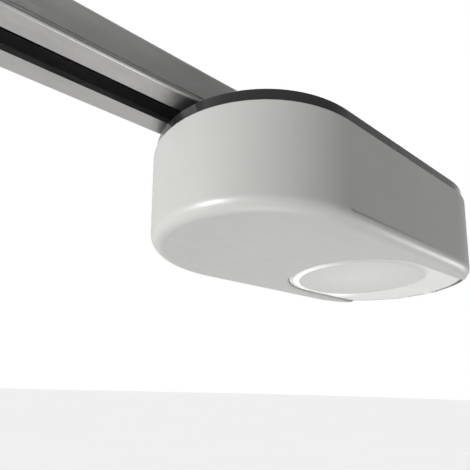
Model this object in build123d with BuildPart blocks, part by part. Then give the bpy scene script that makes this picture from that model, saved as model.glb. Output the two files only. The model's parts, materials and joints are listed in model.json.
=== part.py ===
"""Ceiling-mounted garage door opener: motor head, belt rail, carriage and door arm.

Millimetres. +Z is up and Z = 0 is the ceiling. X runs along the rail, with the door at -X.
The origin is the centre of the head bracket's bolt pattern, on the drive sprocket's axis.
"""

import os
from math import atan, cos, degrees, pi, radians, sin, tan

from build123d import *

os.makedirs("parts", exist_ok=True)

# ---------------------------------------------------------------- driving dimensions
near_x = -60.0  # centre of the head's arc on the rail side
near_r = 90.0
far_x = 89.8  # centre of the head's arc at the far end
far_r = 87.0
rail_top = -2.0
rail_bottom = -29.5
plate_top = -35.0
cover_top = -45.3
cover_bottom = -117.6
cover_wall = 2.5
cover_fillet = 9.3
cover_draft = 2.4  # degrees
plate_inset = 1.75  # the base plate's rim stands back from the cover's edge
plate_wall = 3.0
lens_x = 60.5  # centre of the lamp lens's half round
lens_r = 64.5
lens_gap = 0.9
lens_sink = 3.0  # the lens lies this far over the underside
lens_wall = 2.5
edge_round = 2.2  # the lens bay's lower edge is a quarter round
round_steps = 4
ledge_wall = 2.2  # the ledge over the lens's edge
ledge_out_of_bay = 3.5
ledge_into_bay = 4.5
bay_depth = 16.0
lens_height = 7.9  # from the underside to the top of the lens's edges
lens_end_inset = 6.0  # the lens stops this far inside the head's outline at the far end
lens_end_gap = 1.8
dish_x = 61.0
dish_r = 55.6
dish_depth = 3.2
dish_wall = 2.2
rim = ((63.2, lens_sink), (60.9, 2.0), (58.3, 1.4), (dish_r, 1.1))  # the rim's radii and heights
lens_hinge_x = 167.6
lens_hinge_z = -112.4
hinge_pin_r = 1.0
knuckle_r = 2.2
knuckle_y = (10.0, 19.0)
ear_y = (19.4, 22.4)
lug_rise = 8.3  # the cover's screw lugs stand this far over its underside
lug_wall = 2.4
lug_r = 7.0

rail_half = 25.7
rail_wall = 1.5
slot_half = 9.15
lip_return = 4.5
rail_head_end = 48.0
rail_joint = -1400.0
rail_door_end = -2852.0
idler_x = -2780.0
idler_axle_r = 3.0
tension_rod_r = 4.0

belt_inner_r = 14.7
belt_outer_r = 16.6
belt_low = -21.0
belt_high = -10.4
belt_z = (belt_low + belt_high) / 2
tooth_count = 18
tooth_tip_r = 14.1
shaft_r = 6.0
running_gap = 0.05

wheel_z = -66.0
wheel_teeth = 30
gear_module = 1.5
worm_starts = 2
worm_pitch_r = 8.0
wheel_pitch_r = gear_module * wheel_teeth / 2
worm_y = wheel_pitch_r + worm_pitch_r
worm_lead = worm_starts * pi * gear_module

board_z = -60.0
lamp_z = -101.0
carriage_x = -2550.0
arm_x = carriage_x - 40.0
arm_z = -54.0
arm_length = 330.0
bracket_pin_z = arm_z - arm_length
lever_x = carriage_x + 4.0
lever_z = -50.0
lintel_x = -2905.0
hanger_x = (-1000.0, -2200.0)
button_x = (112.0, 92.0)
button_y = -44.0
arm_hole_z = tuple(-110.0 - 20 * step for step in range(7))
arm_bolt_z = (-190.0, -230.0)
worm_phase = 52.0  # turns the worm into mesh with the wheel
bearing_r = 11.0
bearing_width = 7.0
output_bearings_z = (-84.0, -51.0)
worm_bearing_r = 9.0
worm_bearings_x = (-29.0, 25.0)
worm_shaft_r = 4.0
gearbox_low = -88.0
gearbox_lid_wall = 4.0
motor_start = 32.0
motor_end = 112.0
motor_r = 26.0
motor_bore_r = 24.5
core_start = motor_start + 12
core_length = 46.0
board_wall = 1.6
boss_low = -52.0
post_low = -106.0
mount_bolt_r = 3.3
pivot_r = 4.0
lever_pin_r = 3.0
latch_x = lever_x + 24.0
arm_upper_y = (-2.5, 2.0)
arm_lower_y = (2.0, 6.5)
arm_width = 24.0
strip_wall = 2.0  # the sheet of the head bracket and the rail hangers
hanger_half = 15.0
slider_half = 55.0
body_half = 60.0


# ---------------------------------------------------------------- helpers
def save(builder, label):
    """Label a finished piece and write its STEP file."""
    builder.part.label = label
    export_step(builder.part, f"parts/{label}.step")


def head_outline(inset):
    """The head's plan: two arcs and their common tangents, moved in by inset."""
    with Locations((near_x, 0)):
        Circle(near_r - inset)
    with Locations((far_x, 0)):
        Circle(far_r - inset)
    make_hull()


def lens_outline(grow):
    """The lamp lens's plan: a half round with straight sides towards the far end."""
    reach = far_x + far_r + 20 - lens_x
    with Locations((lens_x, 0)):
        Circle(lens_r + grow)
    with Locations((lens_x + reach / 2, 0)):
        Rectangle(reach, 2 * (lens_r + grow))


def add_box(x, y, z, mode=Mode.ADD):
    """A box given by its low and high limits along each axis."""
    with Locations(((x[0] + x[1]) / 2, (y[0] + y[1]) / 2, (z[0] + z[1]) / 2)):
        Box(x[1] - x[0], y[1] - y[0], z[1] - z[0], mode=mode)


def add_rod(points, radius, low, high, mode=Mode.ADD):
    """Upright cylinders of one radius at several plan positions."""
    with Locations(*[(x, y, (low + high) / 2) for x, y in points]):
        Cylinder(radius, high - low, mode=mode)


def add_bar(radius, start, end, y, z, mode=Mode.ADD):
    """A cylinder along X."""
    with Locations(((start + end) / 2, y, z)):
        Cylinder(radius, end - start, rotation=(0, 90, 0), mode=mode)


def add_pin(radius, start, end, x, z, mode=Mode.ADD):
    """A cylinder along Y."""
    with Locations((x, (start + end) / 2, z)):
        Cylinder(radius, end - start, rotation=(90, 0, 0), mode=mode)


def head_core(inset, top):
    """The head's outer form moved in by inset: drafted walls and a rounded lower edge."""
    bottom = cover_bottom + inset
    narrowing = (cover_top - bottom) * tan(radians(cover_draft))
    with BuildPart() as core:
        with BuildSketch(Plane.XY.offset(bottom)):
            head_outline(inset + narrowing)
        extrude(amount=top - bottom, taper=-cover_draft)
        fillet(core.edges().group_by(Axis.Z)[0], cover_fillet - inset)
    return core.part


def screw(points, head_r, head_h, shank_r, head_low, tip, socket_r=0.0):
    """Upright screws whose heads stand above head_low, or hang below it when tip is higher."""
    down = tip < head_low
    head_high = head_low + head_h if down else head_low - head_h
    low, high = sorted((head_low, head_high))
    add_rod(points, head_r, low, high)
    add_rod(points, shank_r, *sorted((head_low, tip)))
    if socket_r:
        depth = head_h * 0.6
        sink = (high - depth, high) if down else (low, low + depth)
        with BuildSketch(Plane.XY.offset(sink[0])) as socket:
            with Locations(*points):
                RegularPolygon(socket_r, 6)
        extrude(socket.sketch, amount=depth, mode=Mode.SUBTRACT)


# ---------------------------------------------------------------- screw positions
bracket_screw_points = [(x, y) for x in (-12, 12) for y in (-37, 37)]
gearbox_screw_points = [(x, y) for x in (-27, 27) for y in (-31, 46)]
board_screw_points = [(41, -65), (117, -65), (41, -9), (117, -9)]
transformer_screw_points = [(x, y) for x in (-123, -73) for y in (-22, 22)]
cover_screw_points = [(140, -48), (140, 48)]
lamp_screw_points = [(118, -24), (118, 24)]


# ---------------------------------------------------------------- motor head: base plate
def build_base_plate():
    with BuildPart() as base_plate:
        rim_low = cover_top + 0.3
        rail_seat_y = (10.6, 24.0)
        with BuildSketch(Plane.XY.offset(rim_low)):
            head_outline(plate_inset)
        extrude(amount=plate_top - rim_low)
        chamfer(base_plate.edges().group_by(Axis.Z)[-1], 0.8)
        spigot_low = cover_top - 6.7
        with BuildSketch(Plane.XY.offset(spigot_low)):
            head_outline(cover_wall + 0.9)
        extrude(amount=rim_low - spigot_low)
        with BuildSketch(Plane.XY.offset(spigot_low)):
            head_outline(cover_wall + 3.2)
        extrude(amount=plate_top - plate_wall - spigot_low, mode=Mode.SUBTRACT)
        # two ribs carry the rail, one under each lip
        for side in (-1, 1):
            seat = sorted(side * y for y in rail_seat_y)
            add_box((-120, 45), seat, (plate_top, rail_bottom))
        # stiffening ribs on top
        for x in (-95, 95):
            for side in (-1, 1):
                add_box((x - 1.2, x + 1.2), sorted((side * 30, side * 66)), (plate_top, plate_top + 3))
        # posts below
        under = plate_top - plate_wall
        add_rod(board_screw_points, 3.4, board_z + board_wall, under)
        add_rod(transformer_screw_points, 4.2, boss_low, under)
        add_rod(cover_screw_points, 4.6, post_low, under)
        # openings
        add_rod([(0, 0)], 11.2, under - 1, rail_bottom, mode=Mode.SUBTRACT)
        add_rod(bracket_screw_points, 2.55, under, plate_top, mode=Mode.SUBTRACT)
        add_rod(gearbox_screw_points, 2.25, under, plate_top, mode=Mode.SUBTRACT)
        add_rod(board_screw_points, 1.3, board_z + board_wall, under - 6, mode=Mode.SUBTRACT)
        add_rod(transformer_screw_points, 1.8, boss_low, under - 2, mode=Mode.SUBTRACT)
        add_rod(cover_screw_points, 1.8, post_low, post_low + 26, mode=Mode.SUBTRACT)
    save(base_plate, "base_plate")


def build_mains_inlet():
    with BuildPart() as mains_inlet:
        add_box((118, 150), (-14, 14), (plate_top, -13))
        fillet(mains_inlet.edges().filter_by(Axis.X), 2.5)
        add_box((139, 150), (-11, 11), (-30.5, -17.5), mode=Mode.SUBTRACT)
        for y in (-6.5, 0, 6.5):
            add_box((139, 147), (y - 1, y + 1), (-25.5, -22.5))
    save(mains_inlet, "mains_inlet")


# ---------------------------------------------------------------- motor head: cover and lens
def cut_lens_bay():
    """The opening for the lens, with its lower edge rounded in steps."""
    turns = [radians(90 * step / round_steps) for step in range(round_steps + 1)]
    with BuildPart() as lens_bay:
        for a, b in zip(turns, turns[1:]):
            low, high = (cover_bottom + edge_round * (1 - cos(turn)) for turn in (a, b))
            wide, narrow = (lens_gap + edge_round * (1 - sin(turn)) for turn in (a, b))
            with BuildSketch(Plane.XY.offset(low)):
                lens_outline(wide)
            extrude(amount=high - low, taper=degrees(atan((wide - narrow) / (high - low))))
        with BuildSketch(Plane.XY.offset(cover_bottom + edge_round)):
            lens_outline(lens_gap)
        extrude(amount=bay_depth - edge_round)
        with BuildSketch(Plane.XY.offset(cover_bottom)):
            head_outline(lens_end_inset - lens_end_gap)
        extrude(amount=bay_depth, mode=Mode.INTERSECT)
    return lens_bay.part


def build_cover():
    lens_bay = cut_lens_bay()
    ledge_low = lens_sink + lens_wall + 0.4
    ledge_slice = ledge_low + ledge_wall + cover_fillet
    with BuildPart() as skin:
        add(lens_bay)
        add(head_core(ledge_low, cover_top), mode=Mode.SUBTRACT)
    with BuildPart() as ledge:
        add(head_core(cover_wall - 0.1, cover_top))
        add(head_core(ledge_low + ledge_wall, cover_top), mode=Mode.SUBTRACT)
        with BuildSketch(Plane.XY.offset(cover_bottom)):
            lens_outline(ledge_out_of_bay)
        extrude(amount=ledge_slice, mode=Mode.INTERSECT)
        with BuildSketch(Plane.XY.offset(cover_bottom)):
            lens_outline(-ledge_into_bay)
        extrude(amount=ledge_slice, mode=Mode.SUBTRACT)
    with BuildPart() as cover:
        add(head_core(0, cover_top))
        add(head_core(cover_wall, cover_top + 1), mode=Mode.SUBTRACT)
        add(lens_bay, mode=Mode.SUBTRACT)
        add(ledge.part)
        add(skin.part, mode=Mode.SUBTRACT)
        # lugs for the two screws behind the lens
        lug = (cover_bottom + lug_rise, cover_bottom + lug_rise + lug_wall)
        for x, y in cover_screw_points:
            side = 1 if y > 0 else -1
            add_rod([(x, y)], lug_r, *lug)
            add_box((x - lug_r, x + lug_r), sorted((y, side * (lens_r - 1.5))), lug)
            add_rod([(x, y)], 2.1, *lug, mode=Mode.SUBTRACT)
        # ears for the lens hinge
        for side in (-1, 1):
            ear = sorted(side * y for y in ear_y)
            add_box((lens_hinge_x - knuckle_r, lens_hinge_x + 4.4), ear, (lens_hinge_z, lens_hinge_z + 4))
            add_pin(knuckle_r, *ear, lens_hinge_x, lens_hinge_z)
            add_pin(hinge_pin_r, *ear, lens_hinge_x, lens_hinge_z, mode=Mode.SUBTRACT)
        # inner ribs on the long walls
        for x in (-40, 0, 40):
            for side in (-1, 1):
                add_box((x - 1, x + 1), sorted((side * 82.5, side * 85.5)), (-100, -58))
    save(cover, "cover")


def build_lens():
    rim_low = rim[-1][1]
    dish_low = cover_bottom + rim_low
    dish_top = dish_low + dish_depth
    sphere_r = (dish_r**2 + dish_depth**2) / (2 * dish_depth)
    with BuildPart() as bowl:
        add_rod([(dish_x, 0)], dish_r, dish_low, dish_top + 1)
        with Locations((dish_x, 0, dish_top - sphere_r)):
            Sphere(sphere_r, mode=Mode.INTERSECT)
    with BuildPart() as lamp_lens:
        add(head_core(lens_sink, cover_top))
        add(head_core(lens_sink + lens_wall, cover_top + 1), mode=Mode.SUBTRACT)
        with BuildSketch(Plane.XY.offset(cover_bottom)):
            lens_outline(0)
        extrude(amount=lens_height, mode=Mode.INTERSECT)
        with BuildSketch(Plane.XY.offset(cover_bottom)):
            head_outline(lens_end_inset)
        extrude(amount=lens_height, mode=Mode.INTERSECT)
        # the rim stands proud of the plate and rounds down to the dish
        for (wide, high), (narrow, low) in zip(rim, rim[1:]):
            with Locations((dish_x, 0, cover_bottom + (low + high) / 2)):
                Cone(narrow, wide, high - low)
        # the dish: a shallow bowl, with a wall of its own behind it
        add_rod([(dish_x, 0)], dish_r + 1.5, dish_low + 1, dish_top + dish_wall)
        add(bowl.part, mode=Mode.SUBTRACT)
        # notches for the cover's ears, and knuckles between them on the hinge
        for side in (-1, 1):
            notch = sorted((side * (ear_y[0] - 0.3), side * (ear_y[1] + 0.4)))
            add_box((lens_hinge_x - 3.4, far_x + far_r), notch, (cover_bottom, -105), mode=Mode.SUBTRACT)
        for side in (-1, 1):
            knuckle = sorted(side * y for y in knuckle_y)
            height = (lens_hinge_z - knuckle_r, lens_hinge_z + knuckle_r)
            add_box((lens_hinge_x - 5, lens_hinge_x), knuckle, height)
            add_pin(knuckle_r, *knuckle, lens_hinge_x, lens_hinge_z)
            bore = sorted((side * (knuckle_y[0] - 0.4), side * (ear_y[1] + 0.6)))
            add_pin(hinge_pin_r + running_gap, *bore, lens_hinge_x, lens_hinge_z, mode=Mode.SUBTRACT)
    save(lamp_lens, "lamp_lens")


def build_lens_hinge_pins():
    with BuildPart() as lens_hinge_pins:
        for side in (-1, 1):
            reach = sorted((side * knuckle_y[0], side * ear_y[1]))
            add_pin(hinge_pin_r, *reach, lens_hinge_x, lens_hinge_z)
    save(lens_hinge_pins, "lens_hinge_pins")


def build_cover_screws():
    with BuildPart() as cover_screws:
        screw(cover_screw_points, 3.6, 2.2, 1.75, cover_bottom + lug_rise, -86, 1.6)
    save(cover_screws, "cover_screws")


# ---------------------------------------------------------------- motor head: gearbox
def gearbox_outline():
    """The gearbox's plan: a round for the wheel, a block for the worm, and four screw bosses."""
    Circle(30)
    with Locations((0, worm_y)):
        RectangleRounded(64, 27, 3)
    Rectangle(50, 2 * worm_y)
    with Locations(*gearbox_screw_points):
        Circle(5)


def build_gearbox():
    top = plate_top - plate_wall
    lid_low = top - gearbox_lid_wall
    wheel_room_low = -74.0
    with BuildPart() as gearbox_housing:
        with BuildSketch(Plane.XY.offset(gearbox_low)):
            gearbox_outline()
        extrude(amount=lid_low - gearbox_low)
        add_rod([(0, 0)], 25.5, wheel_room_low, lid_low, mode=Mode.SUBTRACT)
        add_rod([(0, 0)], bearing_r, output_bearings_z[0], wheel_room_low, mode=Mode.SUBTRACT)
        worm_room = (worm_bearings_x[0] + bearing_width, worm_bearings_x[1])
        add_bar(10.5, *worm_room, worm_y, wheel_z, mode=Mode.SUBTRACT)
        for start in worm_bearings_x:
            end = start + bearing_width
            add_bar(worm_bearing_r, start, end, worm_y, wheel_z, mode=Mode.SUBTRACT)
        add_rod(gearbox_screw_points, 2.0, -70, lid_low, mode=Mode.SUBTRACT)
    save(gearbox_housing, "gearbox_housing")
    with BuildPart() as gearbox_lid:
        with BuildSketch(Plane.XY.offset(lid_low)):
            gearbox_outline()
        extrude(amount=gearbox_lid_wall)
        seat_low = output_bearings_z[1]
        add_rod([(0, 0)], bearing_r + 3, seat_low - 1, lid_low)
        add_rod([(0, 0)], bearing_r, seat_low, seat_low + bearing_width, mode=Mode.SUBTRACT)
        add_rod([(0, 0)], shaft_r + 1.5, seat_low - 2, top, mode=Mode.SUBTRACT)
        add_rod(gearbox_screw_points, 2.25, lid_low, top, mode=Mode.SUBTRACT)
    save(gearbox_lid, "gearbox_lid")
    with BuildPart() as gearbox_screws:
        screw(gearbox_screw_points, 4, 2.6, 1.95, plate_top, -66, 2.0)
    save(gearbox_screws, "gearbox_screws")


def bearing(low):
    """A ball bearing's outline on the upright shaft, with its seal grooves."""
    high = low + bearing_width
    groove = 0.5
    add_rod([(0, 0)], bearing_r, low, high)
    add_rod([(0, 0)], shaft_r + running_gap, low, high, mode=Mode.SUBTRACT)
    for z in (low, high - groove):
        with Locations((0, 0, z + groove / 2)):
            Cylinder(9.6, groove, mode=Mode.SUBTRACT)
            Cylinder(7.4, groove)
            Cylinder(shaft_r + running_gap, groove, mode=Mode.SUBTRACT)


def build_bearings():
    with BuildPart() as bearings:
        for low in output_bearings_z:
            bearing(low)
        for start in worm_bearings_x:
            end = start + bearing_width
            add_bar(worm_bearing_r, start, end, worm_y, wheel_z)
            add_bar(worm_shaft_r + running_gap, start, end, worm_y, wheel_z, mode=Mode.SUBTRACT)
    save(bearings, "bearings")


def build_worm_wheel():
    root_r = wheel_pitch_r - 1.25 * gear_module
    tip_r = wheel_pitch_r + 0.8 * gear_module
    root_half = 0.28 * pi * gear_module
    tip_half = 0.10 * pi * gear_module
    width = 12
    lead_angle = atan(worm_lead / (2 * pi * worm_pitch_r))
    skew = degrees(width * tan(lead_angle) / wheel_pitch_r)
    with BuildPart() as tooth:
        for height, turn in ((wheel_z - width / 2, -skew / 2), (wheel_z + width / 2, skew / 2)):
            with BuildSketch(Plane.XY.offset(height)):
                with Locations(Location((0, 0, 0), (0, 0, turn + 90))):
                    with BuildLine():
                        Polyline(
                            (root_r - 0.8, -root_half),
                            (tip_r, -tip_half),
                            (tip_r, tip_half),
                            (root_r - 0.8, root_half),
                            close=True,
                        )
                    make_face()
        loft()
    with BuildPart() as worm_wheel:
        add_rod([(0, 0)], root_r, wheel_z - width / 2, wheel_z + width / 2)
        with PolarLocations(0, wheel_teeth):
            add(tooth.part)
        hub = (-76.5, -52.5)
        add_rod([(0, 0)], 9.5, *hub)
        add_rod([(0, 0)], shaft_r, *hub, mode=Mode.SUBTRACT)
    save(worm_wheel, "worm_wheel")


def build_output_shaft():
    with BuildPart() as output_shaft:
        add_rod([(0, 0)], shaft_r, output_bearings_z[0], -6.5)
        chamfer(output_shaft.edges().group_by(Axis.Z)[-1], 0.8)
    save(output_shaft, "output_shaft")


def toothed_pulley(bore_r, flange_r):
    """A toothed belt pulley between two flanges, clear of the belt's edges."""
    edge_gap = 0.3
    flange_wall = 1.3
    with BuildSketch(Plane.XY.offset(belt_low - edge_gap)) as teeth:
        Circle(tooth_tip_r)
        with PolarLocations(tooth_tip_r, tooth_count):
            Circle(1.1, mode=Mode.SUBTRACT)
    extrude(teeth.sketch, amount=belt_high - belt_low + 2 * edge_gap)
    for low in (belt_low - edge_gap - flange_wall, belt_high + edge_gap):
        add_rod([(0, 0)], flange_r, low, low + flange_wall)
    add_rod([(0, 0)], bore_r, belt_low - 2, belt_high + 2, mode=Mode.SUBTRACT)


def build_pulleys():
    with BuildPart() as drive_sprocket:
        toothed_pulley(shaft_r, belt_outer_r + 0.6)
    save(drive_sprocket, "drive_sprocket")
    with BuildPart() as pulley:
        toothed_pulley(idler_axle_r + running_gap, belt_outer_r + 0.6)
    with BuildPart() as idler_pulley:
        with Locations((idler_x, 0, 0)):
            add(pulley.part)
    save(idler_pulley, "idler_pulley")


# ---------------------------------------------------------------- motor head: motor
def build_motor():
    start = motor_start
    end = motor_end
    with BuildPart() as motor_can:
        add_bar(motor_r, start, end, worm_y, wheel_z)
        fillet(motor_can.edges().filter_by(GeomType.CIRCLE).group_by(Axis.X)[-1], 2)
        add_bar(motor_bore_r, start + 2, end + 1, worm_y, wheel_z, mode=Mode.SUBTRACT)
        add_bar(9.5, start - 1, end, worm_y, wheel_z, mode=Mode.SUBTRACT)
    save(motor_can, "motor_can")
    with BuildPart() as motor_magnets:
        with BuildSketch(Plane.YZ.offset(core_start)):
            with Locations((worm_y, wheel_z)):
                Circle(motor_bore_r)
                Circle(18.6, mode=Mode.SUBTRACT)
                Rectangle(60, 12, mode=Mode.SUBTRACT)
        extrude(amount=core_length)
    save(motor_magnets, "motor_magnets")
    with BuildPart() as motor_end_bell:
        add_bar(motor_r, end, end + 4, worm_y, wheel_z)
        add_bar(motor_bore_r, end - 5, end, worm_y, wheel_z)
        add_bar(motor_bore_r - 2, end - 6, end, worm_y, wheel_z, mode=Mode.SUBTRACT)
        add_bar(8, end + 4, end + 8, worm_y, wheel_z)
        add_bar(worm_shaft_r + running_gap, end - 1, end + 6, worm_y, wheel_z, mode=Mode.SUBTRACT)
        for side in (-1, 1):
            terminal_z = sorted((wheel_z + side * 14, wheel_z + side * 19))
            add_box((end + 4, end + 9), (worm_y - 3, worm_y + 3), terminal_z)
        fillet(motor_end_bell.edges().filter_by(GeomType.CIRCLE).sort_by(SortBy.RADIUS)[-1:], 1.0)
    save(motor_end_bell, "motor_end_bell")
    with BuildPart() as rotor_core:
        commutator = (start + 62, start + 72)
        with BuildSketch(Plane.YZ.offset(core_start)):
            with Locations((worm_y, wheel_z)):
                Circle(17.8)
                Circle(worm_shaft_r, mode=Mode.SUBTRACT)
                with PolarLocations(16, 12):
                    Rectangle(5, 2.4, mode=Mode.SUBTRACT)
        extrude(amount=core_length)
        add_bar(9, *commutator, worm_y, wheel_z)
        add_bar(worm_shaft_r, core_start, commutator[1], worm_y, wheel_z, mode=Mode.SUBTRACT)
    save(rotor_core, "rotor_core")


def build_worm_shaft():
    root_r = worm_pitch_r - 1.25 * gear_module
    tip_r = worm_pitch_r + 0.8 * gear_module
    root_half = 0.24 * pi * gear_module
    tip_half = 0.10 * pi * gear_module
    length = 2.2 * worm_lead
    with BuildPart() as thread:
        with BuildLine() as path:
            Helix(pitch=worm_lead, height=length, radius=root_r)
        with BuildSketch(Plane(origin=path.line @ 0, x_dir=(1, 0, 0), z_dir=path.line % 0)):
            with BuildLine():
                Polyline(
                    (-0.6, -root_half),
                    (tip_r - root_r, -tip_half),
                    (tip_r - root_r, tip_half),
                    (-0.6, root_half),
                    close=True,
                )
            make_face()
        sweep(is_frenet=True)
    start = Location((-length / 2, worm_y, wheel_z), (0, 90, 0))
    with BuildPart() as rotor_shaft:
        add_bar(root_r, -21.5, 24.5, worm_y, wheel_z)
        for turn in range(worm_starts):
            spin = Location((0, 0, 0), (0, 0, worm_phase + 360 * turn / worm_starts))
            add(thread.part.moved(start * spin))
        add_bar(worm_shaft_r, worm_bearings_x[0], motor_end + 5, worm_y, wheel_z)
    save(rotor_shaft, "rotor_shaft")


# ---------------------------------------------------------------- motor head: electrics
def build_transformer():
    x = (-127.0, -69.0)
    middle = (x[0] + x[1]) / 2
    with BuildPart() as transformer_core:
        add_box(x, (-27, 27), (-78, -52))
        for side in (-1, 1):
            window = sorted((side * 8, side * 18.5))
            add_box((middle - 17, middle + 17), window, (-79, -51), mode=Mode.SUBTRACT)
        add_rod(transformer_screw_points, 2.2, -79, -51, mode=Mode.SUBTRACT)
    save(transformer_core, "transformer_core")
    with BuildPart() as transformer_coil:
        add_box((middle - 16.5, middle + 16.5), (-18, 18), (-88, -42))
        fillet(transformer_coil.edges().filter_by(Axis.X), 6)
        add_box((middle - 18, middle + 18), (-8.2, 8.2), (-78.2, -51.8), mode=Mode.SUBTRACT)
    save(transformer_coil, "transformer_coil")
    with BuildPart() as transformer_screws:
        screw(transformer_screw_points, 3.6, 2.4, 1.75, -78, -42, 1.6)
    save(transformer_screws, "transformer_screws")


def build_board():
    with BuildPart() as control_board:
        with BuildSketch(Plane.XY.offset(board_z)):
            with Locations((79, -37)):
                RectangleRounded(86, 66, 2)
            with Locations(*board_screw_points):
                Circle(1.7, mode=Mode.SUBTRACT)
        extrude(amount=board_wall)
        for x in button_x:
            add_box((x - 3, x + 3), (button_y - 3, button_y + 3), (board_z - 4.5, board_z))
            add_rod([(x, button_y)], 1.9, board_z - 4.5, board_z - 0.8, mode=Mode.SUBTRACT)
    save(control_board, "control_board")
    with BuildPart() as board_screws:
        screw(board_screw_points, 2.8, 1.8, 1.25, board_z, board_z + 14, 1.2)
    save(board_screws, "board_screws")
    with BuildPart() as relays:
        for x in (56, 80):
            add_box((x - 9.5, x + 9.5), (-28, -13), (board_z - 16, board_z))
        chamfer(relays.edges().group_by(Axis.Z)[0], 0.8)
    save(relays, "relays")
    with BuildPart() as capacitors:
        add_rod([(102, -22)], 8, board_z - 27, board_z)
        add_rod([(102, -55)], 6.3, board_z - 20, board_z)
        add_rod([(54, -38), (67, -38)], 5, board_z - 14, board_z)
        fillet(capacitors.edges().group_by(Axis.Z)[0], 0.8)
    save(capacitors, "capacitors")
    with BuildPart() as terminal_blocks:
        add_box((50, 92), (-68, -58), (board_z - 12, board_z))
        for step in range(8):
            x = 52.6 + 5.2 * step
            add_box((x - 1.7, x + 1.7), (-69, -63), (board_z - 7, board_z - 2.5), mode=Mode.SUBTRACT)
            add_rod([(x, -61)], 1.5, board_z - 13, board_z - 9, mode=Mode.SUBTRACT)
    save(terminal_blocks, "terminal_blocks")
    for label, x in (("learn_button", button_x[0]), ("test_button", button_x[1])):
        with BuildPart() as button_cap:
            add_rod([(x, button_y)], 1.75, board_z - 8, board_z - 2)
            chamfer(button_cap.edges().group_by(Axis.Z)[0], 0.3)
        save(button_cap, label)


def build_lamp():
    with BuildPart() as lamp_bracket:
        add_box((10, 128), (-34, 34), (lamp_z, lamp_z + 1.5))
        add_box((8.5, 10), (-20, 20), (lamp_z, -88))
        add_box((10, 24), (-20, 20), (-89.5, -88))
        add_box((126.5, 128), (-10, 10), (lamp_z, plate_top - plate_wall))
        add_box((128, 138), (-10, 10), (plate_top - plate_wall - 1.5, plate_top - plate_wall))
        add_rod(lamp_screw_points, 1.6, lamp_z, lamp_z + 1.5, mode=Mode.SUBTRACT)
    save(lamp_bracket, "lamp_bracket")
    with BuildPart() as lamp_board:
        with BuildSketch(Plane.XY.offset(lamp_z - board_wall)):
            with Locations((70, 0)):
                RectangleRounded(110, 66, 4)
            with Locations(*lamp_screw_points):
                Circle(1.6, mode=Mode.SUBTRACT)
        extrude(amount=board_wall)
    save(lamp_board, "lamp_board")
    with BuildPart() as lamp_leds:
        led_z = lamp_z - board_wall - 0.5
        with Locations((dish_x, 0, led_z)):
            with PolarLocations(26, 10):
                Box(5, 5, 1)
        with Locations((dish_x, 0, led_z)):
            Box(5, 5, 1)
    save(lamp_leds, "lamp_leds")
    with BuildPart() as lamp_screws:
        screw(lamp_screw_points, 2.8, 1.8, 1.5, lamp_z - board_wall, lamp_z + 4, 1.2)
    save(lamp_screws, "lamp_screws")


# ---------------------------------------------------------------- rail
def rail_profile():
    """A C-section open downwards, with upturned lips and a rolled groove in each side."""
    height = rail_top - rail_bottom
    middle = (rail_top + rail_bottom) / 2
    with Locations((0, middle)):
        RectangleRounded(2 * rail_half, height, 1.8)
        RectangleRounded(2 * (rail_half - rail_wall), height - 2 * rail_wall, 0.6, mode=Mode.SUBTRACT)
    with Locations((0, rail_bottom)):
        Rectangle(2 * slot_half, 4 * rail_wall, mode=Mode.SUBTRACT)
    for side in (-1, 1):
        with Locations((side * (slot_half + rail_wall / 2), rail_bottom + lip_return / 2)):
            Rectangle(rail_wall, lip_return)
        with Locations((side * rail_half, rail_bottom + 3.6)):
            Rectangle(1.0, 1.2, mode=Mode.SUBTRACT)


def build_rail():
    for label, start, end in (
        ("rail_head_section", rail_joint, rail_head_end),
        ("rail_door_section", rail_door_end, rail_joint),
    ):
        with BuildPart() as section:
            with BuildSketch(Plane.YZ.offset(start)):
                rail_profile()
            extrude(amount=end - start)
        save(section, label)
    with BuildPart() as rail_coupler:
        outer_half = rail_half + 1.7
        low = rail_bottom - 1.7
        with BuildSketch(Plane.YZ.offset(rail_joint - 90)):
            with Locations((0, (low - 0.2) / 2)):
                RectangleRounded(2 * outer_half, -0.2 - low, 2)
            with Locations((0, (rail_top + rail_bottom) / 2)):
                RectangleRounded(2 * rail_half, rail_top - rail_bottom, 1.8, mode=Mode.SUBTRACT)
            with Locations((0, low)):
                Rectangle(2 * 13, 6, mode=Mode.SUBTRACT)
        extrude(amount=180)
    save(rail_coupler, "rail_coupler")
    with BuildPart() as rail_end_cap:
        with BuildSketch(Plane.YZ.offset(rail_head_end)):
            with Locations((0, (rail_top + rail_bottom) / 2)):
                RectangleRounded(2 * rail_half, rail_top - rail_bottom, 1.8)
        extrude(amount=2)
        add_box((rail_head_end - 8, rail_head_end), (-23.9, 23.9), (-8.5, -3.8))
        for side in (-1, 1):
            add_box((rail_head_end - 8, rail_head_end), sorted((side * 12.5, side * 23.9)), (-27.7, -24))
    save(rail_end_cap, "rail_end_cap")


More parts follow.
